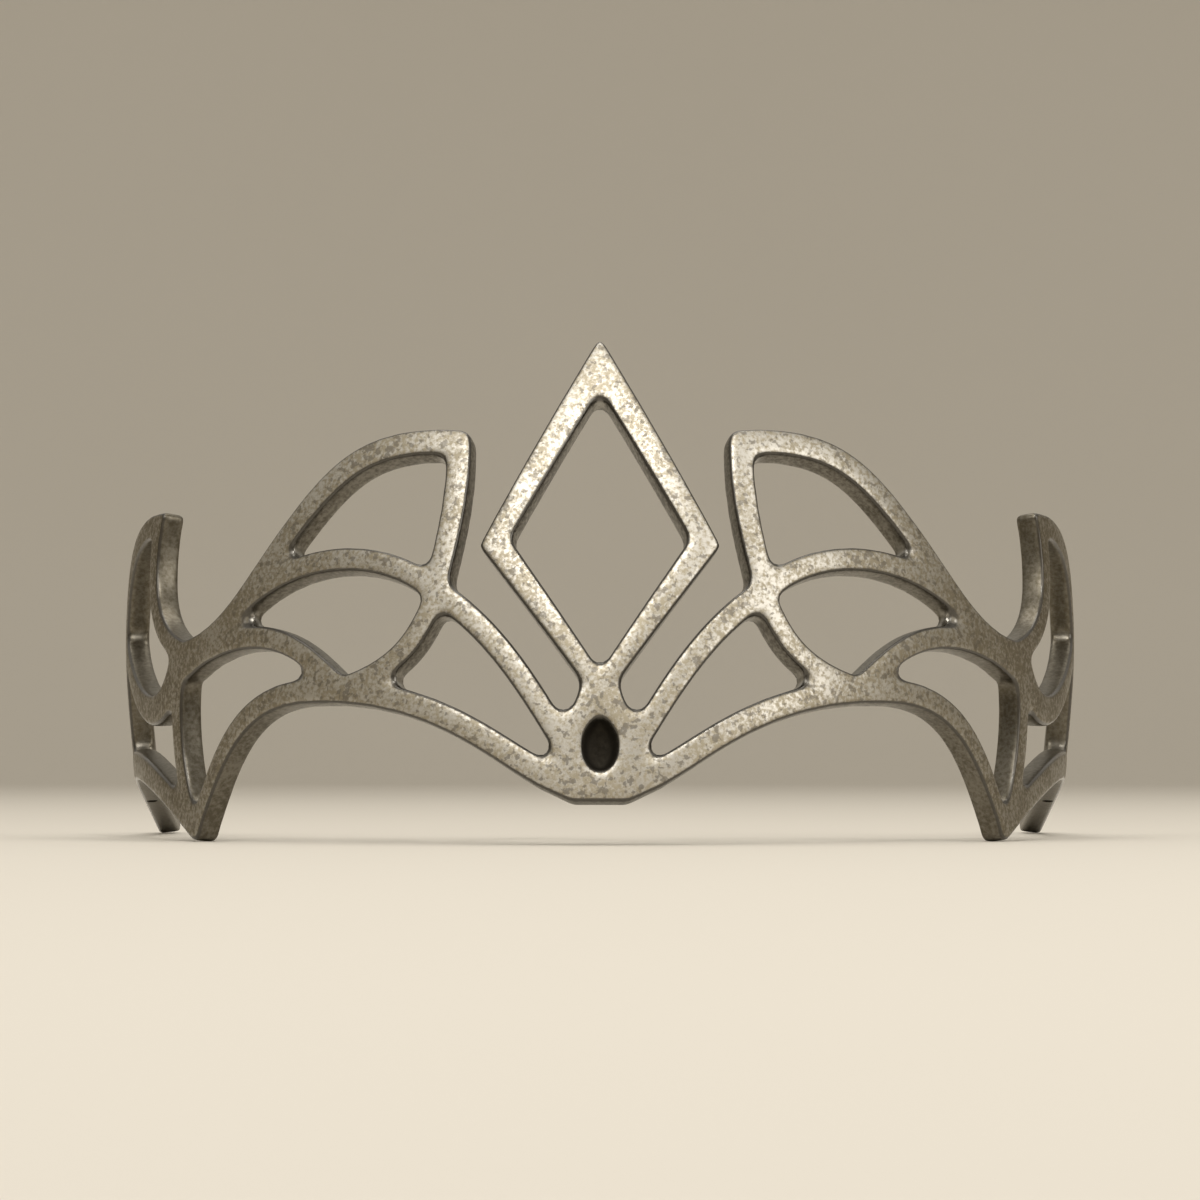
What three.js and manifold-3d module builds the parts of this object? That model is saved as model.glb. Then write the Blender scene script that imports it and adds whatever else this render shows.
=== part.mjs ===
// An openwork tiara, cast in one piece: a diamond above a small drop, a wing of pointed windows on
// each side of it, a fin-shaped panel on each side of the head, and a plain arm above each ear.
// Millimetres. +X is the wearer's left, +Y is the back and +Z is up. The tiara stands on z = 0.
//
// The metal is drawn flat first, as bars on a sheet: "across" runs round the head from the centre
// line and "up" is the height above the two lower corners. The sheet is then wrapped onto a wall
// whose plan is half an ellipse with straight sides. The wall leans in towards its top at the front,
// and towards its foot at the sides.

import * as THREE from "three";
import { mergeVertices } from "three/addons/utils/BufferGeometryUtils.js";
import Module from "manifold-3d";

const wasm = await Module();
wasm.setup();

// ---- Driving sizes ----

const HALF_WIDTH = 85.4; // plan: centre line to the outside of the wall at its widest
const FRONT_DEPTH = 95; // plan: front of the wall to its widest line
const WALL = 4.2; // thickness of the metal
const FRONT_LEAN = { start: 5, radius: 220 }; // height where the front starts to curve in, and how much
const SIDE_TUCK = { from: 5, to: 47, inward: 3 }; // the sides come in towards the head below the height "to"

const DIAMOND = { outerTop: 80.4, outerSide: 20.2, sideUp: 43.3, outerFoot: 15.2 };
const DIAMOND_WINDOW = { top: 69.6, side: 15.0, sideUp: 44.2, foot: 22.0 };
const CORNER_ROUNDING = 1.2;
const WINDOW_ROUNDING = 0.7;

const DROP = { up: 8.8, halfWidth: 3.2, halfHeight: 4.6, point: 1.15, depth: 3.3 }; // recess in the centre plate
const TIE_HOLE = { across: 155, radius: 0.9, deep: 1.6, sides: 12 }; // upright hole through each arm

const REST_TIP = 11.14; // degrees it tips back, off its front foot, until the arm ends touch down

const STEP_ALONG_BAR = 3.2; // spacing of the points along a curved bar
const CAP_STEPS = 4; // sides of each bar's round end
const LONGEST_EDGE = 8; // longest straight edge on the curved wall
const CURVE_STEPS = 5; // points on each rounded corner, and on each quarter of the drop
const ARC_STEPS = 2000; // rows in the table of the plan's arc length
const PROUD = 1; // how far a cutting solid stands clear of what it cuts
const WELD = 1e-4; // points closer than this are one point

// Each bar is one or more cubic curves through [across, up] points: an end, two handles, an end, and
// so on. Its width runs evenly from the start to the end. The left half mirrors these.
const BARS = [
  { name: "foot_bar", widths: [4.5, 4.3], curve: [[7.8, 11.2], [13, 20.2], [18.8, 29.8], [27.5, 35.7]] },
  { name: "wing_post", widths: [4.5, 4.2], curve: [[23.8, 62.1], [23.8, 52.4], [25.3, 45.4], [28.1, 35.6]] },
  {
    name: "wing_arch",
    widths: [4.7, 4.2],
    curve: [
      [23.9, 62.2], [40.6, 64.4], [46, 59.8], [56.4, 50.3],
      [66.7, 40.9], [73.4, 33.3], [88.3, 33.8],
    ],
  },
  { name: "lens_arch", widths: [4.1, 4.1], curve: [[27.6, 35.7], [34.4, 42.9], [49.6, 47.4], [68.8, 39.1]] },
  { name: "lens_fall", widths: [4.0, 3.7], curve: [[27.8, 35.2], [31.4, 28], [34.6, 23.3], [46.1, 21.3]] },
  { name: "lens_rise", widths: [3.8, 4.3], curve: [[46.2, 20.8], [54.6, 28.8], [60, 34.9], [79.9, 32.6]] },
  {
    name: "brow_band",
    widths: [4.5, 3.9],
    curve: [
      [2, 1.9], [15.6, 3.4], [21.5, 19.4], [55.3, 21.7],
      [69.7, 22.3], [78, 15.1], [86.7, 3],
    ],
  },
  { name: "side_post", widths: [4.4, 4.2], curve: [[89.7, 32.9], [94.3, 23.8], [94.7, 14.5], [87.8, 3.8]] },
  { name: "fin_post", widths: [4.2, 4.8], curve: [[88.3, 33.9], [98.5, 37.5], [105.2, 46], [100.3, 59.2]] },
  { name: "fin_tip", widths: [1.8, 3.6], curve: [[97.9, 60.4], [99, 59.7], [100, 58.8], [101, 58]] },
  { name: "fin_arch", widths: [4.2, 4.6], curve: [[99.8, 59.4], [116, 61.6], [131, 56], [139.5, 24]] },
  { name: "fin_curl", widths: [6.4, 4.6], curve: [[91.5, 32.5], [98.5, 23.5], [109, 22.5], [131, 44]] },
  { name: "rail", widths: [4.3, 5.5], curve: [[86.6, 3], [99, 11.5], [118, 22.6], [142, 22.6]] },
  { name: "arm", widths: [5.6, 5.6], curve: [[138, 22.6], [154, 22.6], [170, 22.6], [187, 22.6]] },
];

// Outline of the right half of the centre plate, from its foot up to the diamond.
const PLATE = [
  [0, -0.4], [4.8, -0.4], [10.4, 2.2], [9, 7.6], [8.1, 12.6],
  [6.2, 14.4], [4.3, 15.2], [3.3, 18], [0, 20],
];

// ---- Flat drawing ----

const mirrored = (points) => points.map(([across, up]) => [-across, up]);

// A bar's outline: both edges of its curve, joined by a round end at each end.
function barOutline({ widths, curve }, side) {
  const path = new THREE.CurvePath();
  for (let i = 0; i + 3 < curve.length; i += 3) {
    const ends = curve.slice(i, i + 4).map(([across, up]) => new THREE.Vector2(across * side, up));
    path.add(new THREE.CubicBezierCurve(...ends));
  }
  const steps = Math.max(2, Math.round(path.getLength() / STEP_ALONG_BAR));
  const left = [];
  const right = [];
  for (let i = 0; i <= steps; i++) {
    const share = i / steps;
    const middle = path.getPointAt(share);
    const along = path.getTangentAt(share);
    const half = THREE.MathUtils.lerp(widths[0], widths[1], share) / 2;
    const out = new THREE.Vector2(-along.y, along.x).multiplyScalar(half);
    left.push(middle.clone().add(out));
    right.push(middle.clone().sub(out));
  }
  left.reverse();
  return [
    ...right,
    ...roundEnd(right.at(-1), left[0]),
    ...left,
    ...roundEnd(left.at(-1), right[0]),
  ];
}

// Points of the half circle that joins two edge points, turning left.
function roundEnd(from, to) {
  const middle = from.clone().add(to).multiplyScalar(0.5);
  const points = [];
  for (let i = 1; i < CAP_STEPS; i++) {
    points.push(from.clone().rotateAround(middle, (Math.PI * i) / CAP_STEPS));
  }
  return points;
}

// A polygon with its corners rounded by short curves.
function roundedPolygon(corners, rounding, ShapeClass = THREE.Shape) {
  const shape = new ShapeClass();
  corners.forEach((corner, i) => {
    const here = new THREE.Vector2(...corner);
    const towards = (other) => new THREE.Vector2(...other).sub(here).setLength(rounding).add(here);
    const before = towards(corners.at(i - 1));
    const after = towards(corners[(i + 1) % corners.length]);
    if (i === 0) shape.moveTo(before.x, before.y);
    else shape.lineTo(before.x, before.y);
    shape.quadraticCurveTo(here.x, here.y, after.x, after.y);
  });
  shape.closePath();
  return shape;
}

function diamondShape() {
  const { outerTop, outerSide, sideUp, outerFoot } = DIAMOND;
  const outline = [[0, outerFoot], [outerSide, sideUp], [0, outerTop], [-outerSide, sideUp]];
  const shape = roundedPolygon(outline, CORNER_ROUNDING);
  const hole = DIAMOND_WINDOW;
  const window = [[0, hole.foot], [-hole.side, hole.sideUp], [0, hole.top], [hole.side, hole.sideUp]];
  shape.holes.push(roundedPolygon(window, WINDOW_ROUNDING, THREE.Path));
  return shape;
}

// An upright oval whose top is drawn out to a point, so many times its half height above its middle.
function dropShape() {
  const { up, halfWidth, halfHeight, point } = DROP;
  const reach = Math.acos(1 / point); // angle from the point's line to where its sides touch the oval
  const [start, end] = [Math.PI / 2 + reach, Math.PI / 2 - reach + 2 * Math.PI];
  const shape = new THREE.Shape();
  shape.moveTo(0, up + halfHeight * point);
  shape.absellipse(0, up, halfWidth, halfHeight, start, end, false, 0);
  shape.closePath();
  return shape;
}

// ---- Solids ----

// A closed geometry as a manifold solid.
function solidFrom(geometry) {
  const bare = geometry.index ? geometry.toNonIndexed() : geometry.clone();
  bare.deleteAttribute("normal");
  bare.deleteAttribute("uv");
  const merged = mergeVertices(bare, WELD);
  const mesh = new wasm.Mesh({
    numProp: 3,
    vertProperties: new Float32Array(merged.attributes.position.array),
    triVerts: new Uint32Array(merged.index.array),
  });
  return new wasm.Manifold(mesh);
}

// A flat shape from depth below the sheet's outer face to above it.
function plateFrom(shape, depth = WALL, above = 0) {
  const geometry = new THREE.ExtrudeGeometry(shape, {
    depth: depth + above,
    bevelEnabled: false,
    curveSegments: CURVE_STEPS,
  });
  geometry.translate(0, 0, -depth);
  return solidFrom(geometry);
}

// A pin up through an arm, for cutting its hole.
function tiePin(side) {
  const arm = BARS.at(-1);
  const length = arm.widths[0] + 2 * PROUD;
  const pin = new THREE.CylinderGeometry(TIE_HOLE.radius, TIE_HOLE.radius, length, TIE_HOLE.sides);
  pin.translate(side * TIE_HOLE.across, arm.curve[0][1], -TIE_HOLE.deep);
  return solidFrom(pin);
}

function flatTiara() {
  const plate = [...PLATE, ...mirrored(PLATE).reverse()].map(([across, up]) => new THREE.Vector2(across, up));
  let sheet = plateFrom(new THREE.Shape(plate)).add(plateFrom(diamondShape()));
  for (const side of [1, -1]) {
    for (const bar of BARS) sheet = sheet.add(plateFrom(new THREE.Shape(barOutline(bar, side))));
    sheet = sheet.subtract(tiePin(side));
  }
  return sheet.subtract(plateFrom(dropShape(), DROP.depth, PROUD));
}

// ---- Wrapping the sheet onto the head ----

// How far the front has come in at a height, and how steeply, along a round profile.
function leaned(up) {
  const { start, radius } = FRONT_LEAN;
  const rise = Math.max(0, up - start);
  const level = Math.sqrt(radius * radius - rise * rise);
  return { inward: radius - level, slope: rise / level };
}

// The same for the sides, which come in smoothly from the height where they are upright.
function tucked(up) {
  const { from, to, inward } = SIDE_TUCK;
  const share = THREE.MathUtils.clamp((up - from) / (to - from), 0, 1);
  return {
    inward: inward * (1 - share * share * (3 - 2 * share)),
    slope: (-inward * 6 * share * (1 - share)) / (to - from),
  };
}

// Angle on the plan's ellipse at each distance across, from a fine table of its arc length.
const ellipse = new THREE.EllipseCurve(0, 0, HALF_WIDTH, FRONT_DEPTH, 0, Math.PI / 2);
const arcLengths = [0];
for (let i = 1; i <= ARC_STEPS; i++) {
  const angle = ((i - 0.5) / ARC_STEPS) * (Math.PI / 2);
  const speed = Math.hypot(ellipse.xRadius * Math.cos(angle), ellipse.yRadius * Math.sin(angle));
  arcLengths.push(arcLengths[i - 1] + (speed * Math.PI) / 2 / ARC_STEPS);
}
const QUARTER = arcLengths[ARC_STEPS];

function planAngle(across) {
  if (across >= QUARTER) return Math.PI / 2;
  let low = 0;
  let high = ARC_STEPS;
  while (high - low > 1) {
    const middle = (low + high) >> 1;
    if (arcLengths[middle] <= across) low = middle;
    else high = middle;
  }
  const share = (across - arcLengths[low]) / (arcLengths[high] - arcLengths[low]);
  return ((low + share) / ARC_STEPS) * (Math.PI / 2);
}

// A point of the flat sheet, placed on the head: on the wall, then out along the wall's normal.
function wrapped(across, up, out) {
  const side = Math.sign(across) || 1;
  const angle = planAngle(Math.abs(across));
  const front = leaned(up);
  const flank = tucked(up);
  const width = HALF_WIDTH - flank.inward;
  const depth = FRONT_DEPTH - front.inward;
  const behind = Math.max(0, Math.abs(across) - QUARTER);
  const sine = Math.sin(angle);
  const cosine = Math.cos(angle);
  const place = new THREE.Vector3(width * sine, behind - depth * cosine, up);
  const normal = new THREE.Vector3(
    sine / width,
    -cosine / depth,
    (flank.slope * sine * sine) / width + (front.slope * cosine * cosine) / depth,
  ).normalize();
  place.addScaledVector(normal, out);
  place.x *= side;
  return place;
}

// Splits every edge longer than LONGEST_EDGE at its middle until none is left.
function refined(points, faces) {
  const middles = new Map();
  const middleOf = (a, b) => {
    const key = a < b ? `${a}_${b}` : `${b}_${a}`;
    if (!middles.has(key)) {
      const long = points[a].distanceTo(points[b]) > LONGEST_EDGE;
      middles.set(key, long ? points.push(points[a].clone().lerp(points[b], 0.5)) - 1 : -1);
    }
    return middles.get(key);
  };
  const next = [];
  for (const face of faces) {
    const cuts = face.map((corner, i) => middleOf(corner, face[(i + 1) % 3]));
    const count = cuts.filter((cut) => cut >= 0).length;
    // Turn the face so that its first edge is cut, and its last edge is whole when one is.
    const turn = count === 2 ? (cuts.indexOf(-1) + 1) % 3 : Math.max(0, cuts.findIndex((cut) => cut >= 0));
    const [a, b, c] = [0, 1, 2].map((i) => face[(i + turn) % 3]);
    const [ab, bc, ca] = [0, 1, 2].map((i) => cuts[(i + turn) % 3]);
    if (count === 0) next.push([a, b, c]);
    if (count === 1) next.push([a, ab, c], [ab, b, c]);
    if (count === 2) next.push([ab, b, bc], [a, ab, bc], [a, bc, c]);
    if (count === 3) next.push([a, ab, ca], [ab, b, bc], [ca, bc, c], [ab, bc, ca]);
  }
  return next.length === faces.length ? faces : refined(points, next);
}

function wrappedGeometry(sheet) {
  const { vertProperties, triVerts, numProp } = sheet.getMesh();
  const points = [];
  for (let i = 0; i < vertProperties.length; i += numProp) {
    points.push(new THREE.Vector3(vertProperties[i], vertProperties[i + 1], vertProperties[i + 2]));
  }
  let faces = [];
  for (let i = 0; i < triVerts.length; i += 3) faces.push([...triVerts.slice(i, i + 3)]);
  faces = refined(points, faces);
  const placed = points.flatMap((point) => wrapped(point.x, point.y, point.z).toArray());
  const geometry = new THREE.BufferGeometry();
  geometry.setAttribute("position", new THREE.Float32BufferAttribute(placed, 3));
  geometry.setIndex(faces.flat());
  geometry.computeVertexNormals();
  return geometry;
}

// ---- The tiara ----

const pewter = new THREE.MeshStandardMaterial({ color: 0x9c958a, roughness: 0.42, metalness: 0.9 });
const tiara = new THREE.Mesh(wrappedGeometry(flatTiara()), pewter);
tiara.name = "tiara";

// It stands on its two lower corners and its arm ends, with the origin at the middle of that footprint.
const group = new THREE.Group();
group.add(tiara);
group.rotation.x = -THREE.MathUtils.degToRad(REST_TIP);
const box = new THREE.Box3().setFromObject(group, true);
group.position.set(0, -(box.min.y + box.max.y) / 2, -box.min.z);

export default group;
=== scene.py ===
# The looks of a cast openwork tiara: a diamond over a small drop, a wing of pointed windows on each
# side of it, a fin on each side of the head and a plain arm above each ear. The metal is drawn flat
# in millimetres, where x runs across from the centre line, y is up and z is out of the sheet. Then
# its edges are softened and the sheet is wrapped onto the wall that leans in round the head.

import math

import bmesh
import bpy
from mathutils import Matrix, Vector


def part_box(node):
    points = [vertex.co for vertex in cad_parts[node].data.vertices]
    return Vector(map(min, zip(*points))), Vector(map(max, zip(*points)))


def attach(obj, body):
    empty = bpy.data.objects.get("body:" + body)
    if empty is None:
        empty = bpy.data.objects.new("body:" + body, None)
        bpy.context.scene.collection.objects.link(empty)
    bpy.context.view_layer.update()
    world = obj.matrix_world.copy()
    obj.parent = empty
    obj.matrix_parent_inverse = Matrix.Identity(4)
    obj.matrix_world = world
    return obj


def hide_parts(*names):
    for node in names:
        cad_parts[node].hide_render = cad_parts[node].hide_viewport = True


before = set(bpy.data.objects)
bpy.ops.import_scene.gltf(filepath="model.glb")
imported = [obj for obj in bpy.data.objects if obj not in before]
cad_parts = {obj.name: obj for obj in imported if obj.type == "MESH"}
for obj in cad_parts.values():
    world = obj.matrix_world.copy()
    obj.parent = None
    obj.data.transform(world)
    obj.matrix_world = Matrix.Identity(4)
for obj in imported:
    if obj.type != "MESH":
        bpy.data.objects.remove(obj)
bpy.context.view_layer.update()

# ---- Sizes of the flat drawing, in millimetres ----

MM = 0.001
HALF_WIDTH = 85.4  # plan: centre line to the outside of the wall at its widest
FRONT_DEPTH = 95.0  # plan: front of the wall to its widest line
WALL = 4.2
FRONT_LEAN = {"start": 5.0, "radius": 220.0}  # above the height "start" the front curves in
SIDE_TUCK = {"from": 5.0, "to": 47.0, "inward": 3.0}  # the sides come in below the height "to"
REST_TIP = math.radians(11.14)  # it stands tipped back on its two lower corners and its arm ends

DIAMOND = {"outer": [(0, 15.2), (20.2, 43.3), (0, 81.4), (-20.2, 43.3)],
           "window": [(0, 21.3), (14.8, 44.2), (0, 70.7), (-14.8, 44.2)]}
DIAMOND_ROUNDING = [0.6, 0.6, 2.2, 0.6]  # at each of its outer corners
PLATE = [(0, -0.4), (4.8, -0.4), (10.4, 2.2), (7.7, 6.2), (8.6, 9.6), (8.1, 12.6),
         (6.3, 14.4), (4.6, 15.2), (3.6, 18.2), (0, 20)]
DROP = {"up": 8.8, "half_width": 2.9, "half_height": 4.3, "point": 1.28, "depth": 3.3}
TIE_HOLE = {"across": 155.0, "up": 22.6, "deep": 1.6, "radius": 0.9}

SWELL = 0.8  # the metal is built this much too fat on all sides, and then shrunk back
RIM = 1.3  # rounding of the swollen edges
RIM_STEPS = 4
RECESS_SPREAD = 1.5  # how far the recess's floor reaches into the metal round it
BAR_STEP = 0.8  # how closely the bars follow their lines
TIE_PIN = 8.0  # length of the pin that cuts the tie hole

# Each bar: its name, its width at each end, then its middle line as cubic curves: an end, two
# handles, an end, and so on.
BARS = [
    ("foot_bar", (4.0, 4.4), [(7.5, 11.4), (12.9, 20.3), (18.8, 29.8), (27.5, 35.7)]),
    ("wing_post", (4.5, 4.2), [(23.8, 62.1), (23.8, 52.4), (25.3, 45.4), (28.1, 35.6)]),
    ("wing_arch", (4.7, 4.2), [(23.9, 62.2), (40.6, 64.4), (46, 59.8), (56.4, 50.3),
                               (66.7, 40.9), (73.4, 33.3), (88.3, 33.8)]),
    ("lens_arch", (4.1, 4.1), [(27.6, 35.7), (34.4, 42.9), (49.6, 47.4), (68.8, 39.1)]),
    ("lens_fall", (4.0, 3.7), [(27.8, 35.2), (31.4, 28), (34.6, 23.3), (46.1, 21.3)]),
    ("lens_rise", (3.8, 4.6), [(46.2, 20.8), (54.6, 28.8), (60, 34.9), (79.9, 32.6),
                               (82.3, 32.3), (84.8, 31.9), (87.4, 31.2)]),
    ("brow_band", (4.5, 3.9), [(2, 1.9), (15.6, 3.4), (21.5, 19.4), (55.3, 21.7),
                               (69.7, 22.3), (78, 15.1), (86.7, 3)]),
    ("side_post", (4.4, 4.2), [(89.7, 32.9), (94.3, 23.8), (94.7, 14.5), (87.8, 3.8)]),
    ("fin_post", (4.2, 4.8), [(88.3, 33.9), (98.5, 37.5), (105.2, 46), (100.3, 59.2)]),
    ("fin_tip", (1.8, 3.6), [(97.9, 60.4), (99, 59.7), (100, 58.8), (101, 58)]),
    ("fin_arch", (4.2, 4.6), [(99.8, 59.4), (116, 61.6), (131, 56), (139.5, 24)]),
    ("fin_curl", (6.4, 4.6), [(91.5, 32.5), (98.5, 23.5), (109, 22.5), (131, 44)]),
    ("rail", (4.3, 5.5), [(86.6, 3), (99, 11.5), (118, 22.6), (142, 22.6)]),
    ("arm", (5.6, 5.6), [(138, 22.6), (154, 22.6), (170, 22.6), (187, 22.6)]),
]

FINE = 0.59  # size of the finished metal's faces
SOFTENING = 2  # rounds of smoothing that turn the cast edges
SHRINK_BLUR = 2  # rounds of smoothing before the swollen metal shrinks back
BULGE_REACH = 8  # rounds of smoothing that tell edges that stand out from inner corners
PLAN_STEPS = 720  # points round the ellipse of the plan


# ---- Node building ----

class Wire:
    """A value, vector or colour in a node tree. Arithmetic between wires adds Math nodes."""

    def __init__(self, bench, socket):
        self.bench = bench
        self.socket = socket

    def maths(self, operation, *others):
        inputs = {i: other for i, other in enumerate((self, *others))}
        return self.bench.add("ShaderNodeMath", {"operation": operation}, inputs)

    def __add__(self, other):
        return self.maths("ADD", other)

    __radd__ = __add__

    def __sub__(self, other):
        return self.maths("SUBTRACT", other)

    def __rsub__(self, other):
        return (self * -1.0) + other

    def __mul__(self, other):
        return self.maths("MULTIPLY", other)

    __rmul__ = __mul__

    def __truediv__(self, other):
        return self.maths("DIVIDE", other)

    def __neg__(self):
        return self * -1.0

    def least(self, other):
        return self.maths("MINIMUM", other)

    def most(self, other):
        return self.maths("MAXIMUM", other)

    def root(self):
        return self.maths("SQRT")

    def size(self):
        return self.maths("ABSOLUTE")

    def sign(self):
        return self.maths("SIGN")

    def within(self, low, high):
        """0 below low, 1 above high, and an even rise between."""
        return self.bench.add("ShaderNodeMapRange", {"clamp": True},
                              {"Value": self, "From Min": low, "From Max": high})

    def parts(self):
        split = self.bench.node("ShaderNodeSeparateXYZ", {}, {"Vector": self})
        return [Wire(self.bench, output) for output in split.outputs]


class Bench:
    """Adds nodes to one tree."""

    def __init__(self, tree):
        self.tree = tree

    def node(self, kind, settings, inputs):
        made = self.tree.nodes.new(kind)
        for name, value in settings.items():
            setattr(made, name, value)
        for key, value in inputs.items():
            for one in value if isinstance(value, list) else [value]:
                self.feed(self.socket(made.inputs, key), one)
        return made

    def add(self, kind, settings, inputs, output=0):
        made = self.node(kind, settings, inputs)
        return Wire(self, self.socket(made.outputs, output))

    def socket(self, sockets, key):
        if isinstance(key, int):
            return sockets[key]
        by_identifier = [s for s in sockets if s.identifier == key]
        return by_identifier[0] if by_identifier else sockets[key]

    def feed(self, socket, value):
        if isinstance(value, Wire):
            self.tree.links.new(value.socket, socket)
        else:
            socket.default_value = value

    def vector(self, x, y, z):
        return self.add("ShaderNodeCombineXYZ", {}, {"X": x, "Y": y, "Z": z})

    def blend(self, share, a, b):
        """Colour a where share is 0, colour b where it is 1."""
        return self.add("ShaderNodeMix", {"data_type": "RGBA"},
                        {"Factor_Float": share, "A_Color": a, "B_Color": b}, "Result_Color")

    def stored(self, geometry, name, value, kind="FLOAT"):
        """The geometry with the value kept on its points under the name."""
        return self.add("GeometryNodeStoreNamedAttribute", {"data_type": kind, "domain": "POINT"},
                        {"Geometry": geometry, "Name": name, "Value": value})


def geometry_tree(name, inputs):
    """A geometry tree with named inputs: its bench, its inputs' wires and its output node."""
    tree = bpy.data.node_groups.new(name, "GeometryNodeTree")
    tree.interface.new_socket("Metal", in_out="INPUT", socket_type="NodeSocketGeometry")
    for label, (kind, _) in inputs.items():
        tree.interface.new_socket(label, in_out="INPUT", socket_type=kind)
    tree.interface.new_socket("Metal", in_out="OUTPUT", socket_type="NodeSocketGeometry")
    bench = Bench(tree)
    entry = bench.node("NodeGroupInput", {}, {})
    wires = {socket.name: Wire(bench, socket) for socket in entry.outputs if socket.name}
    return bench, wires, bench.node("NodeGroupOutput", {}, {})


def close_tree(bench, out, metal, finish):
    """Ends a geometry tree: no instances are left, and every face has the finish."""
    metal = bench.add("GeometryNodeRealizeInstances", {}, {"Geometry": metal})
    metal = bench.add("GeometryNodeSetMaterial", {}, {"Geometry": metal, "Material": finish})
    bench.feed(out.inputs[0], metal)
    return bench.tree


def fit_tree(obj, tree, values):
    """Puts the tree on obj and sets its inputs by their identifiers."""
    modifier = obj.modifiers.new(tree.name, "NODES")
    modifier.node_group = tree
    for item in tree.interface.items_tree:
        if item.in_out == "INPUT" and item.name in values:
            modifier[item.identifier] = values[item.name][1]


# ---- The flat metal ----

def mirrored(points):
    """The points on the other side of the centre line."""
    return [(-across, up) for across, up in points]


def rounded(corners, roundings, steps=4):
    """A polygon whose corners are short quadratic curves, each with its own reach."""
    points = []
    for i, (corner, rounding) in enumerate(zip(corners, roundings)):
        here = Vector(corner)
        before = here + (Vector(corners[i - 1]) - here).normalized() * rounding
        after = here + (Vector(corners[(i + 1) % len(corners)]) - here).normalized() * rounding
        for step in range(steps + 1):
            t = step / steps
            points.append(tuple(before * (1 - t) ** 2 + here * (2 * t * (1 - t)) + after * t * t))
    return points


def drop_outline(steps=20):
    """An upright oval whose top is drawn out to a point."""
    reach = math.acos(1 / DROP["point"])
    first = math.pi / 2 + reach
    turn = 2 * math.pi - 2 * reach
    around = [first + turn * i / steps for i in range(steps + 1)]
    side = [(DROP["half_width"] * math.cos(a), DROP["up"] + DROP["half_height"] * math.sin(a))
            for a in around]
    return [(0.0, DROP["up"] + DROP["half_height"] * DROP["point"]), *side]


def circle_outline(across, up, radius, steps=20):
    """A round outline, as fine as the rounded ends of the bars need."""
    turns = [2 * math.pi * i / steps for i in range(steps)]
    return [(across + radius * math.cos(a), up + radius * math.sin(a)) for a in turns]


def swollen(corners, amount):
    """A polygon, listed anticlockwise, moved evenly outwards, or inwards if amount is below 0."""
    moved = []
    for i, corner in enumerate(corners):
        here = Vector(corner)
        before = (here - Vector(corners[i - 1])).normalized()
        after = (Vector(corners[(i + 1) % len(corners)]) - here).normalized()
        out = Vector((before.y + after.y, -before.x - after.x)).normalized()
        moved.append(tuple(here + out * (amount / out.dot(Vector((after.y, -after.x))))))
    return moved


def add_slab(sheet, outlines, low, high):
    """Adds a closed plate to the bmesh: the first outline filled, the others open through it."""
    edges = []
    for painted_edge_shade in outlines:
        ring = [sheet.verts.new((x, y, high)) for x, y in painted_edge_shade]
        edges += [sheet.edges.new((ring[i - 1], ring[i])) for i in range(len(ring))]
    made = bmesh.ops.triangle_fill(sheet, use_beauty=True, edges=edges)["geom"]
    faces = [part for part in made if isinstance(part, bmesh.types.BMFace)]
    grown = bmesh.ops.extrude_face_region(sheet, geom=faces)["geom"]
    lower = [part for part in grown if isinstance(part, bmesh.types.BMVert)]
    bmesh.ops.translate(sheet, verts=lower, vec=(0, 0, low - high))
    walls = {face for vert in lower for face in vert.link_faces} | set(faces)
    bmesh.ops.recalc_face_normals(sheet, faces=list(walls))


def add_cast_slab(sheet, painted_edge_shade, hole=None):
    """A swollen plate of the wall's thickness, with its rims rounded in steps."""
    for step in range(RIM_STEPS + 1):
        turn = math.pi / 2 * step / RIM_STEPS
        inset = RIM * (1 - math.cos(turn))
        thinner = RIM * (1 - math.sin(turn))
        outlines = [swollen(painted_edge_shade, SWELL - inset)]
        if hole:
            outlines.append(swollen(hole, inset - SWELL))
        add_slab(sheet, outlines, -WALL - SWELL + thinner, SWELL - thinner)


def make_plates():
    """The centre plate with its recess, the diamond frame, and the round ends of the bars."""
    sheet = bmesh.new()
    add_cast_slab(sheet, PLATE + mirrored(PLATE[1:-1])[::-1], drop_outline())
    add_slab(sheet, [swollen(drop_outline(), RECESS_SPREAD)], -WALL - SWELL, SWELL - DROP["depth"])
    add_cast_slab(sheet, rounded(DIAMOND["outer"], DIAMOND_ROUNDING), DIAMOND["window"])
    for _, widths, curve in BARS:
        for width, (across, up) in zip(widths, (curve[0], curve[-1])):
            for side in (1, -1):
                add_cast_slab(sheet, circle_outline(side * across, up, width / 2))
    mesh = bpy.data.meshes.new("flat_plates")
    sheet.to_mesh(mesh)
    sheet.free()
    return mesh


def make_bar_lines():
    """The middle lines of the bars of both sides, with their swollen widths as the radius."""
    lines = bpy.data.curves.new("bar_lines", "CURVE")
    lines.dimensions = "3D"
    for _, widths, curve in BARS:
        for side in (1, -1):
            spline = lines.splines.new("BEZIER")
            ends = curve[::3]
            spline.bezier_points.add(len(ends) - 1)
            for i, point in enumerate(spline.bezier_points):
                before = curve[max(0, 3 * i - 1)]
                after = curve[min(len(curve) - 1, 3 * i + 1)]
                point.handle_left_type = point.handle_right_type = "FREE"
                point.co = (side * ends[i][0], ends[i][1], 0)
                point.handle_left = (side * before[0], before[1], 0)
                point.handle_right = (side * after[0], after[1], 0)
                point.radius = widths[0] + (widths[1] - widths[0]) * i / (len(ends) - 1) + 2 * SWELL
    return bpy.data.objects.new("bar_lines", lines)


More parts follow.
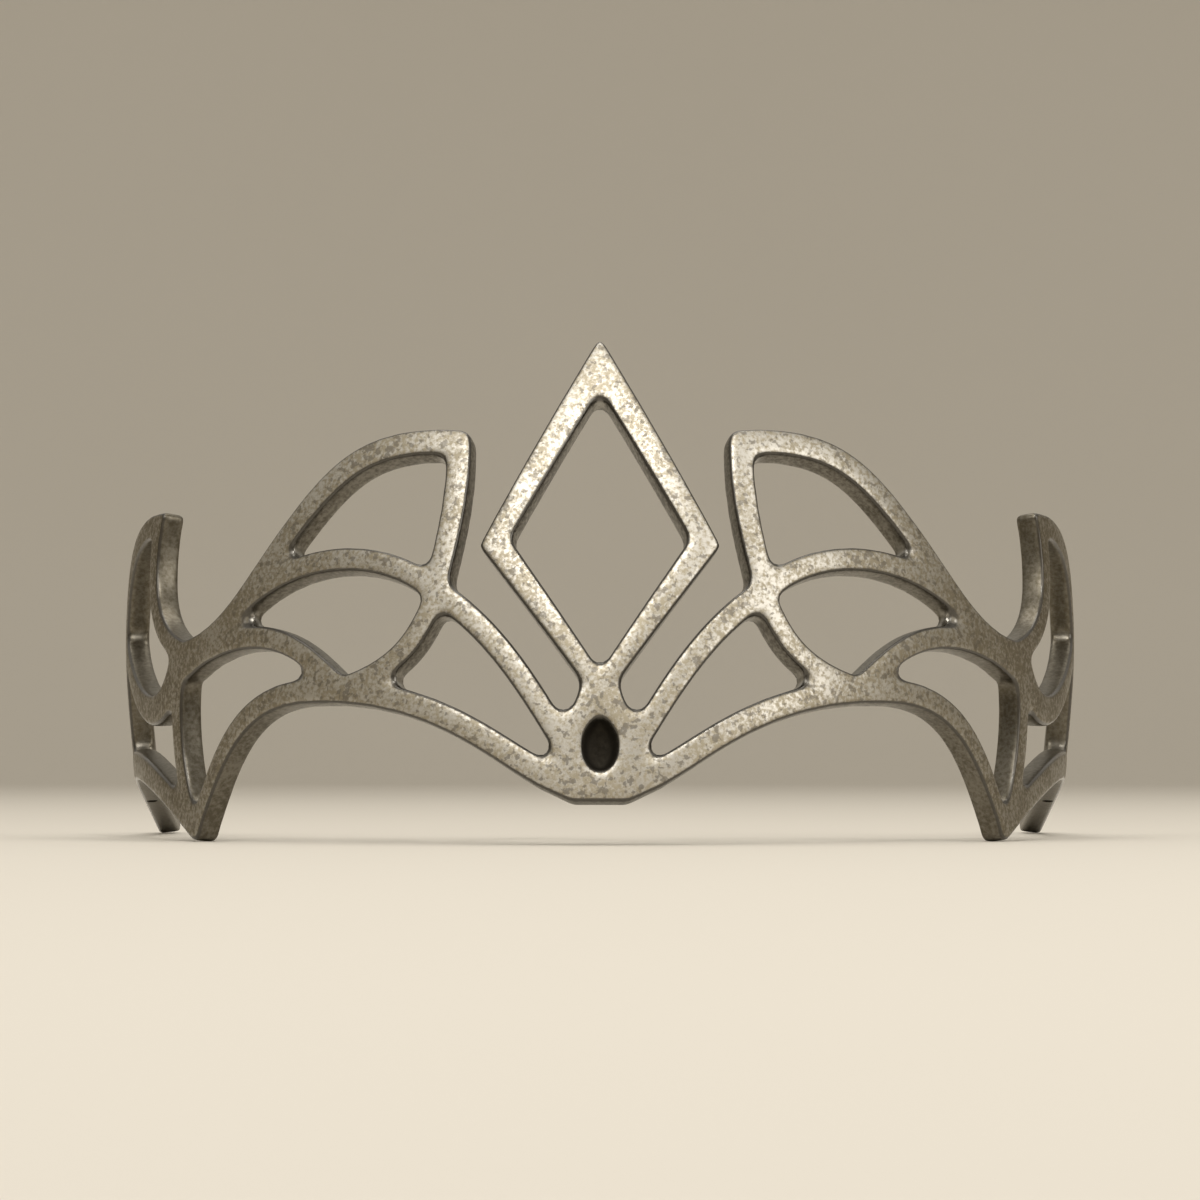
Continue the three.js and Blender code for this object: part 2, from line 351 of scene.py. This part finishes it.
def bars_tree(inputs):
    """Adds a square bar with rounded edges along each line of the bar lines to the plates."""
    bench, wires, out = geometry_tree("cast_bars", inputs)
    lines = bench.add("GeometryNodeObjectInfo", {}, {"Object": wires["Bar lines"]}, "Geometry")
    lines = bench.add("GeometryNodeResampleCurve", {"mode": "LENGTH"},
                      {"Curve": lines, "Length": wires["Step"]})
    lines = bench.add("GeometryNodeSetCurveNormal", {"mode": "Z_UP"}, {"Curve": lines})
    radius = bench.add("GeometryNodeInputRadius", {}, {})
    lines = bench.stored(lines, "bar_width", radius)
    section = bench.add("GeometryNodeCurvePrimitiveQuadrilateral", {},
                        {"Width": 1.0, "Height": 1.0})
    section = bench.add("GeometryNodeFilletCurve", {"mode": "POLY"},
                        {"Curve": section, "Count": 4, "Radius": wires["Edge share"]})
    bars = bench.add("GeometryNodeCurveToMesh", {},
                     {"Curve": lines, "Profile Curve": section, "Scale": radius, "Fill Caps": True})
    width = bench.add("GeometryNodeInputNamedAttribute", {"data_type": "FLOAT"},
                      {"Name": "bar_width"})
    x, y, z = bench.add("GeometryNodeInputPosition", {}, {}).parts()
    flat = bench.vector(x, y, z / width * wires["Thickness"] - wires["Middle"])
    bars = bench.add("GeometryNodeSetPosition", {}, {"Geometry": bars, "Position": flat})
    metal = bench.add("GeometryNodeJoinGeometry", {}, {"Geometry": [wires["Metal"], bars]})
    return close_tree(bench, out, metal, wires["Finish"])


# ---- Softening the edges and wrapping the sheet round the head ----

def leaning(up, start, radius):
    """How far the front has come in at a height, and how steeply."""
    rise = (up - start).most(0.0)
    level = (radius * radius - rise * rise).root()
    return radius - level, rise / level


def tucked(up, low, high, inward):
    """How far the sides have come in at a height, and how steeply."""
    share = up.within(low, high)
    return (inward * (1.0 - share * share * (3.0 - 2.0 * share)),
            inward * -6.0 * share * (1.0 - share) / (high - low))


def wrap_tree(inputs):
    """Shrinks and softens the metal, drills the tie holes, notes where it bulges and hollows and
    wraps it round.
    """
    bench, wires, out = geometry_tree("round_the_head", inputs)
    metal = wires["Metal"]
    place = bench.add("GeometryNodeInputPosition", {}, {})
    normal = bench.add("GeometryNodeInputNormal", {}, {})

    def blurred(value, rounds):
        return bench.add("GeometryNodeBlurAttribute", {"data_type": "FLOAT_VECTOR"},
                         {"Value": value, "Iterations": rounds, "Weight": 1.0})

    # The swollen shapes shrink back, which leaves a fillet in each inner corner.
    metal = bench.add("GeometryNodeSetPosition", {},
                      {"Geometry": metal, "Position": blurred(place, SHRINK_BLUR)})
    outwards = bench.add("ShaderNodeVectorMath", {"operation": "NORMALIZE"},
                         {0: blurred(normal, SHRINK_BLUR)})
    inwards = bench.add("ShaderNodeVectorMath", {"operation": "SCALE"},
                        {0: outwards, "Scale": -wires["Swell"]})
    metal = bench.add("GeometryNodeSetPosition", {}, {"Geometry": metal, "Offset": inwards})
    metal = bench.add("GeometryNodeSetPosition", {},
                      {"Geometry": metal, "Position": blurred(place, wires["Softening"])})
    for side in (1.0, -1.0):
        pin = bench.add("GeometryNodeMeshCylinder", {"fill_type": "NGON"},
                        {"Vertices": 20, "Radius": wires["Tie radius"], "Depth": TIE_PIN})
        pin = bench.add("GeometryNodeTransform", {},
                        {"Geometry": pin, "Rotation": (math.pi / 2, 0.0, 0.0),
                         "Translation": bench.vector(wires["Tie across"] * side, wires["Tie up"],
                                                     -wires["Tie deep"])})
        metal = bench.add("GeometryNodeMeshBoolean", {"operation": "DIFFERENCE"},
                          {"Mesh 1": metal, "Mesh 2": pin})

    # Bulge: above 0 on edges that stand out, below 0 in inner corners; the finish paints a
    # highlight in those corners.
    hollowed = blurred(place, wires["Bulge reach"])
    shift = bench.add("ShaderNodeVectorMath", {"operation": "SUBTRACT"}, {0: place, 1: hollowed})
    worn = bench.add("ShaderNodeVectorMath", {"operation": "DOT_PRODUCT"},
                     {0: shift, 1: normal}, "Value")
    metal = bench.stored(metal, "worn", worn)
    # Facing: 1 on the outer face, 0 on the edges of the wall, -1 on the inner face.
    metal = bench.stored(metal, "facing", normal.parts()[2])
    metal = bench.stored(metal, "flat_place", place, "FLOAT_VECTOR")

    # The plan is half an ellipse with straight sides. The sheet is laid along it from the centre.
    across, up, proud = place.parts()
    ring = bench.add("GeometryNodeCurvePrimitiveCircle", {"mode": "RADIUS"},
                     {"Resolution": PLAN_STEPS, "Radius": 1.0})
    ring = bench.add("GeometryNodeTransform", {},
                     {"Geometry": ring, "Rotation": (0.0, 0.0, -math.pi / 2)})
    plan_size = bench.vector(wires["Half width"], wires["Front depth"], 1.0)
    ring = bench.add("GeometryNodeTransform", {}, {"Geometry": ring, "Scale": plan_size})
    quarter = bench.add("GeometryNodeCurveLength", {}, {"Curve": ring}) / 4.0
    reach = across.size()
    on_plan = bench.add("GeometryNodeSampleCurve", {"mode": "LENGTH", "use_all_curves": True},
                        {"Curves": ring, "Length": reach.least(quarter)}, "Position")
    plan_x, plan_y, _ = on_plan.parts()
    sine = plan_x / wires["Half width"]
    cosine = -plan_y / wires["Front depth"]
    front_in, front_slope = leaning(up, wires["Front lean start"], wires["Front lean radius"])
    side_in, side_slope = tucked(up, wires["Tuck from"], wires["Tuck to"], wires["Tuck inward"])
    width = wires["Half width"] - side_in
    depth = wires["Front depth"] - front_in
    behind = (reach - quarter).most(0.0)
    # The sheet's depth is kept square to the leaning wall.
    outward = bench.vector(sine / width,
                           -cosine / depth,
                           side_slope * sine * sine / width + front_slope * cosine * cosine / depth)
    outward = bench.add("ShaderNodeVectorMath", {"operation": "NORMALIZE"}, {0: outward})
    out_x, out_y, out_z = outward.parts()
    right = (width * sine + out_x * proud) * across.sign()
    back = behind - depth * cosine + out_y * proud
    high = up + out_z * proud
    wrapped = bench.vector(right * MM, back * MM, high * MM)
    wrapped = bench.add("ShaderNodeVectorRotate", {"rotation_type": "X_AXIS"},
                        {"Vector": wrapped, "Angle": -wires["Tip back"]})
    metal = bench.add("GeometryNodeSetPosition", {}, {"Geometry": metal, "Position": wrapped})
    metal = bench.add("GeometryNodeSetShadeSmooth", {}, {"Geometry": metal, "Shade Smooth": True})
    return close_tree(bench, out, metal, wires["Finish"])


def make_tiara(finish):
    """The whole casting as one plain mesh, standing where the frame's tiara stands."""
    blank = bpy.data.objects.new("tiara_metal", make_plates())
    lines = make_bar_lines()
    bpy.context.scene.collection.objects.link(blank)
    bpy.context.scene.collection.objects.link(lines)
    bars = {"Bar lines": ("NodeSocketObject", lines),
            "Step": ("NodeSocketFloat", BAR_STEP),
            "Edge share": ("NodeSocketFloat", RIM / (WALL + 2 * SWELL)),
            "Thickness": ("NodeSocketFloat", WALL + 2 * SWELL),
            "Middle": ("NodeSocketFloat", WALL / 2),
            "Finish": ("NodeSocketMaterial", finish)}
    fit_tree(blank, bars_tree(bars), bars)
    fuse = blank.modifiers.new("fuse", "REMESH")
    fuse.mode = "VOXEL"
    fuse.voxel_size = FINE
    fuse.use_smooth_shade = True
    head = {"Softening": ("NodeSocketInt", SOFTENING),
            "Bulge reach": ("NodeSocketInt", BULGE_REACH),
            "Half width": ("NodeSocketFloat", HALF_WIDTH),
            "Front depth": ("NodeSocketFloat", FRONT_DEPTH),
            "Front lean start": ("NodeSocketFloat", FRONT_LEAN["start"]),
            "Front lean radius": ("NodeSocketFloat", FRONT_LEAN["radius"]),
            "Tuck from": ("NodeSocketFloat", SIDE_TUCK["from"]),
            "Tuck to": ("NodeSocketFloat", SIDE_TUCK["to"]),
            "Tuck inward": ("NodeSocketFloat", SIDE_TUCK["inward"]),
            "Swell": ("NodeSocketFloat", SWELL),
            "Tie radius": ("NodeSocketFloat", TIE_HOLE["radius"]),
            "Tie across": ("NodeSocketFloat", TIE_HOLE["across"]),
            "Tie up": ("NodeSocketFloat", TIE_HOLE["up"]),
            "Tie deep": ("NodeSocketFloat", TIE_HOLE["deep"]),
            "Tip back": ("NodeSocketFloat", REST_TIP),
            "Finish": ("NodeSocketMaterial", finish)}
    fit_tree(blank, wrap_tree(head), head)
    shaped = blank.evaluated_get(bpy.context.evaluated_depsgraph_get())
    mesh = bpy.data.meshes.new_from_object(shaped)
    blank.modifiers.clear()
    blank.data = mesh
    bpy.data.objects.remove(lines)

    # Stand it on the frame's own floor and footprint.
    low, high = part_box("tiara")
    places = [vert.co for vert in mesh.vertices]
    nearest = min(place.y for place in places)
    farthest = max(place.y for place in places)
    lowest = min(place.z for place in places)
    shift = (0, (low.y + high.y - nearest - farthest) / 2, low.z - lowest)
    mesh.transform(Matrix.Translation(shift))
    return blank


# ---- Finishes ----

def shader(name):
    """A new material with an empty tree, and the bench of that tree."""
    material = bpy.data.materials.new(name)
    material.use_nodes = True
    material.node_tree.nodes.clear()
    return material, Bench(material.node_tree)


def surface(bench, constants, wires):
    """The principled surface and the material's output."""
    skin = bench.node("ShaderNodeBsdfPrincipled", {}, {**constants, **wires})
    bench.node("ShaderNodeOutputMaterial", {}, {"Surface": Wire(bench, skin.outputs[0])})


def grain(bench, place, size, detail=2.0, roughness=0.5):
    """Even noise whose blotches are about size millimetres across."""
    return bench.add("ShaderNodeTexNoise", {"noise_dimensions": "3D"},
                     {"Vector": place, "Scale": 1.0 / size, "Detail": detail,
                      "Roughness": roughness}, "Fac")


def in_recess(across, up, proud):
    """1 on the walls and the floor of the drop-shaped recess, 0 elsewhere."""
    oval_across = across / (DROP["half_width"] + 0.3)
    oval_up = (up - DROP["up"] - 0.3) / (DROP["half_height"] + 0.7)
    oval = 1.0 - (oval_across * oval_across + oval_up * oval_up).within(0.9, 1.0)
    return oval * (-proud).within(0.3, 0.9) * (1.0 + proud / WALL).within(0.05, 0.12)


def in_tie_hole(across, proud):
    """1 inside the tie hole of either arm, 0 elsewhere."""
    hole_across = across.size() - TIE_HOLE["across"]
    hole_deep = proud + TIE_HOLE["deep"]
    away = (hole_across * hole_across + hole_deep * hole_deep).root() / TIE_HOLE["radius"]
    return 1.0 - away.within(1.05, 1.2)


def burnished_pewter():
    """Bright and speckled on the outer face, dull on its walls, with painted shade, reflections and
    glints, and black in the recess and the tie holes.
    """
    material, bench = shader("burnished_pewter")
    place = bench.add("ShaderNodeTexCoord", {}, {}, "Object")
    place = bench.add("ShaderNodeVectorMath", {"operation": "SCALE"}, {0: place, "Scale": 1.0 / MM})
    facing = bench.add("ShaderNodeAttribute", {"attribute_name": "facing"}, {}, "Fac")
    worn = bench.add("ShaderNodeAttribute", {"attribute_name": "worn"}, {}, "Fac")
    flat_place = bench.add("ShaderNodeAttribute", {"attribute_name": "flat_place"}, {}, "Vector")
    across, up, proud = flat_place.parts()

    speck = grain(bench, place, 0.7, detail=3.0, roughness=0.6)
    spot = grain(bench, place, 1.1, detail=2.0, roughness=0.5)
    fine = grain(bench, place, 0.45, detail=2.0)
    cloud = grain(bench, place, 7.0, detail=2.0)
    mottle = (speck + (cloud - 0.5) * 0.35).within(0.40, 0.60)
    dark_spots = (spot + (fine - 0.5) * 0.3 + (cloud - 0.5) * 0.2).within(0.56, 0.62)

    bright = (0.64, 0.615, 0.56, 1.0)
    sallow = (0.43, 0.385, 0.295, 1.0)
    speckle = (0.20, 0.183, 0.157, 1.0)
    painted_reflection_olive = (0.128, 0.106, 0.066, 1.0)
    dull = (0.11, 0.101, 0.083, 1.0)
    dull_spots = (0.27, 0.255, 0.222, 1.0)
    painted_edge_shade = (0.055, 0.049, 0.040, 1.0)
    black = (0.040, 0.035, 0.027, 1.0)
    face = bench.blend(mottle, bright, sallow)
    face = bench.blend(dark_spots * 0.7, face, speckle)
    # Painted reflection: round the sides the faces and walls are painted olive, standing in for the
    # warm backdrop mirrored in the metal.
    round_the_side = across.size().within(14.0, 100.0)
    face = bench.blend(round_the_side * (0.7 + mottle * 0.25), face, painted_reflection_olive)
    # The walls take the duller colour: partly patina, partly painted shade, since they face away
    # from the lamps.
    edge = bench.blend((speck * 0.7 + cloud * 0.3).within(0.40, 0.60), dull, dull_spots)
    edge = bench.blend(round_the_side * 0.5, edge, painted_reflection_olive)
    outer_face_share = (facing + (fine - 0.5) * 0.10).within(0.80, 0.94)
    colour = bench.blend(outer_face_share, edge, face)
    # Painted shade: the rounding between the outer face and the walls is painted near-black as a
    # dark rim.
    turning = facing.within(0.20, 0.40) * (1.0 - facing.within(0.90, 0.98))
    colour = bench.blend(turning * 0.85, colour, painted_edge_shade)
    # Painted highlight: inner corners that face forwards are painted bright, as glints of light in
    # their fillets.
    painted_nook_glint = (-worn).within(0.12, 0.30) * facing.within(-0.2, 0.4)
    colour = bench.blend(painted_nook_glint * 0.9, colour, bright)

    # The tie holes are painted black inside as painted shade; the walls and floor of the drop
    # recess are painted black too.
    black_inside = in_recess(across, up, proud).most(in_tie_hole(across, proud))
    colour = bench.blend(black_inside, colour, black)
    rough = 0.37 + mottle * outer_face_share * 0.13 + (fine - 0.5) * 0.12 - painted_nook_glint * 0.15 + black_inside * 0.4

    height = speck * 0.6 + fine * 0.4
    bumped = bench.add("ShaderNodeBump", {},
                       {"Strength": 0.35, "Distance": 0.08 * MM, "Height": height})
    surface(bench, {"Metallic": 0.92, "IOR": 1.5, "Coat Roughness": 0.16},
            {"Base Color": colour, "Roughness": rough, "Normal": bumped,
             "Coat Weight": (turning * 0.7).most(painted_nook_glint) * (1.0 - black_inside)})
    return material


def pale_floor_finish():
    """Matt, pale and very slightly uneven."""
    material, bench = shader("pale_floor")
    place = bench.add("ShaderNodeTexCoord", {}, {}, "Object")
    soft = bench.add("ShaderNodeTexNoise", {},
                     {"Vector": place, "Scale": 3.0, "Detail": 1.0}, "Fac")
    colour = bench.blend(soft, (0.70, 0.66, 0.59, 1.0), (0.72, 0.68, 0.61, 1.0))
    surface(bench, {"Roughness": 0.75}, {"Base Color": colour})
    return material


# ---- Studio, in metres ----

CAMERA = {"lens": 150, "away": 0.875, "height": 0.014}  # "away": in front of the middle

# Each softbox: its name, its place, its width and height, and its power.
SOFTBOXES = [
    ("key", (-0.35, -0.9, 1.1), (0.9, 0.6), 5.8),
    ("fill", (0.9, -0.7, 0.6), (0.6, 0.8), 3.5),
    ("top", (0.0, 0.3, 1.3), (0.9, 0.6), 5),
    ("lamp", (0.18, -0.75, 1.15), (0.12, 0.12), 2.5),
]


def make_floor():
    """A wide round floor whose far rim curves up, so that no edge shows from any side."""
    flat_radius = 1.9
    rise_radius = 1.2
    steps = 24
    profile = [(0.0, 0.0), (0.5, 0.0), (1.2, 0.0)]
    profile += [(flat_radius + rise_radius * math.sin(a), rise_radius * (1 - math.cos(a)))
                for a in [math.pi / 2 * i / steps for i in range(steps + 1)]]
    bowl = bmesh.new()
    sides = 96
    centre = bowl.verts.new((0, 0, 0))
    rings = []
    for radius, height in profile[1:]:
        turns = [2 * math.pi * i / sides for i in range(sides)]
        rings.append([bowl.verts.new((radius * math.cos(a), radius * math.sin(a), height))
                      for a in turns])
    for i in range(sides):
        bowl.faces.new((centre, rings[0][i - 1], rings[0][i]))
        for inner, outer in zip(rings, rings[1:]):
            bowl.faces.new((inner[i - 1], outer[i - 1], outer[i], inner[i]))
    for face in bowl.faces:
        face.smooth = True
    mesh = bpy.data.meshes.new("floor")
    bowl.to_mesh(mesh)
    bowl.free()
    floor = bpy.data.objects.new("floor", mesh)
    floor.data.materials.append(pale_floor_finish())
    bpy.context.scene.collection.objects.link(floor)
    return floor


def add_softbox(name, place, aim, size, power, colour=(1.0, 0.97, 0.92)):
    """A rectangular lamp that points at aim."""
    lamp = bpy.data.lights.new(name, "AREA")
    lamp.shape = "RECTANGLE"
    lamp.size, lamp.size_y = size
    lamp.energy = power
    lamp.color = colour
    holder = bpy.data.objects.new(name, lamp)
    holder.location = place
    holder.rotation_euler = (Vector(aim) - Vector(place)).to_track_quat("-Z", "Y").to_euler()
    bpy.context.scene.collection.objects.link(holder)


def make_camera(middle):
    """Square on to the front, as far off as a portrait camera stands, just above the floor."""
    camera = bpy.data.cameras.new("camera")
    camera.lens = CAMERA["lens"]
    camera.sensor_width = 36
    holder = bpy.data.objects.new("camera", camera)
    holder.location = (0.0, middle.y - CAMERA["away"], CAMERA["height"])
    aim = Vector((0.0, middle.y, middle.z))
    holder.rotation_euler = (aim - holder.location).to_track_quat("-Z", "Y").to_euler()
    bpy.context.scene.collection.objects.link(holder)
    bpy.context.scene.camera = holder


def set_sky():
    """An even, slightly warm light from all round."""
    sky = bpy.data.worlds.new("sky")
    sky.use_nodes = True
    light = sky.node_tree.nodes["Background"]
    light.inputs["Color"].default_value = (0.80, 0.75, 0.66, 1.0)
    light.inputs["Strength"].default_value = 0.6
    bpy.context.scene.world = sky


low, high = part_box("tiara")
middle = (low + high) / 2
make_camera(middle)
set_sky()
for name, place, size, power in SOFTBOXES:
    add_softbox(name, place, middle, size, power)
floor = make_floor()

tiara = make_tiara(burnished_pewter())
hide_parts("tiara")
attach(tiara, "root")

bpy.context.scene.view_settings.view_transform = "Standard"
